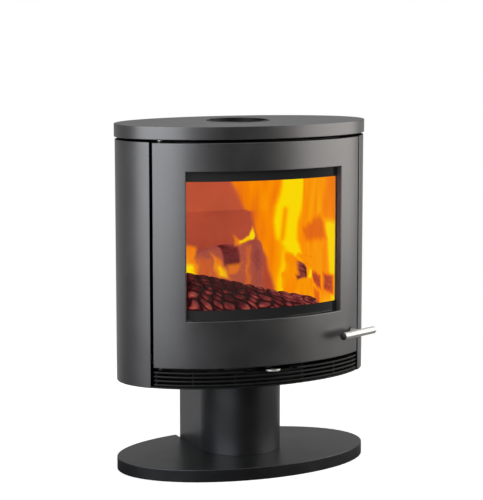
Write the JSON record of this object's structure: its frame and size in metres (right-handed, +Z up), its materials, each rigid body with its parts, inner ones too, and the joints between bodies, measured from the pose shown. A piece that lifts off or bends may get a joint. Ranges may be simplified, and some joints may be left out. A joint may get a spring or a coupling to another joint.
{
  "type": "wood stove",
  "caption": "Oval steel wood stove on a round-fronted pedestal, with a curved glazed door, a T-bar handle, an air lever under the door and a top flue collar.",
  "frame": {"origin": "on the floor below the middle of the oval, in the underside of the base plate", "axes": "+Z up, the door faces -Y, +X to the viewer's right when facing the door"},
  "size_m": [0.65, 0.3906, 0.8585],
  "materials": {
    "stove_paint": "satin heat-resistant anthracite paint",
    "base_paint": "satin heat-resistant dark grey paint",
    "black_paint": "matt heat-resistant black paint",
    "bare_steel": "zinc-plated sheet and fasteners",
    "handle_steel": "fine brushed stainless steel",
    "cast_iron": "raw casting darkened by fire",
    "fire_brick": "pressed vermiculite, matt and grainy",
    "glass": "heat-resistant ceramic glass with a black printed edge",
    "rope_seal": "knitted glass-fibre rope",
    "firewood": "charred split log",
    "black_plastic": "heat-resistant black moulding"
  },
  "bodies": {
    "root": {"base_plate": "base_paint", "pedestal_column": "stove_paint", "base_bolt_1": "bare_steel", "base_bolt_2": "bare_steel", "base_bolt_3": "bare_steel", "base_bolt_4": "bare_steel", "body_bolt_1": "bare_steel", "body_bolt_2": "bare_steel", "body_bolt_3": "bare_steel", "body_bolt_4": "bare_steel", "floor_pan": "black_paint", "air_spigot": "bare_steel", "front_grille": "black_paint", "air_slot_plate": "black_paint", "damper_rail_front": "bare_steel", "damper_rail_rear": "bare_steel", "firebox_casing": "black_paint", "fire_plate": "black_paint", "brick_floor": "fire_brick", "brick_left": "fire_brick", "brick_right": "fire_brick", "brick_back_lower": "fire_brick", "brick_back_upper": "fire_brick", "baffle_brick": "fire_brick", "steel_baffle": "black_paint", "grate": "cast_iron", "ash_pan": "bare_steel", "side_panel_left": "stove_paint", "side_panel_right": "stove_paint", "panel_bracket_left_lower": "black_paint", "panel_bracket_left_upper": "black_paint", "panel_bracket_right_lower": "black_paint", "panel_bracket_right_upper": "black_paint", "panel_bracket_back": "black_paint", "back_panel": "stove_paint", "top_plate": "stove_paint", "flue_collar": "black_paint", "hinge_bracket_top": "black_paint", "hinge_bracket_bottom": "black_paint", "hinge_pin_top": "handle_steel", "hinge_pin_bottom": "handle_steel", "latch_keeper": "bare_steel", "log_front": "firewood", "log_rear_left": "firewood", "log_rear_right": "firewood"},
    "door": {"door_panel": "stove_paint", "door_glass": "glass", "glass_clip_left": "bare_steel", "glass_clip_right": "bare_steel", "glass_clip_top": "bare_steel", "glass_clip_bottom": "bare_steel", "door_gasket": "rope_seal", "handle_bush": "black_plastic"},
    "handle": {"handle_bar": "handle_steel", "handle_end_cap": "black_plastic", "handle_post": "handle_steel", "latch_cam": "bare_steel"},
    "air_control": {"air_damper": "bare_steel", "air_knob": "handle_steel"}
  },
  "joints": [
    {"name": "door_hinge", "type": "hinge", "parent": "root", "child": "door", "pos_m": [-0.253, -0.107, 0.5475], "axis": [0, 0, -1], "range_deg": [0, 100]},
    {"name": "handle_turn", "type": "hinge", "parent": "door", "child": "handle", "pos_m": [0.243, -0.1252, 0.335], "axis": [0.4226, -0.9063, 0], "range_deg": [-35, 0]},
    {"name": "air_lever_slide", "type": "slide", "parent": "root", "child": "air_control", "axis": [1, 0, 0], "range_m": [-0.058, 0.042]}
  ]
}
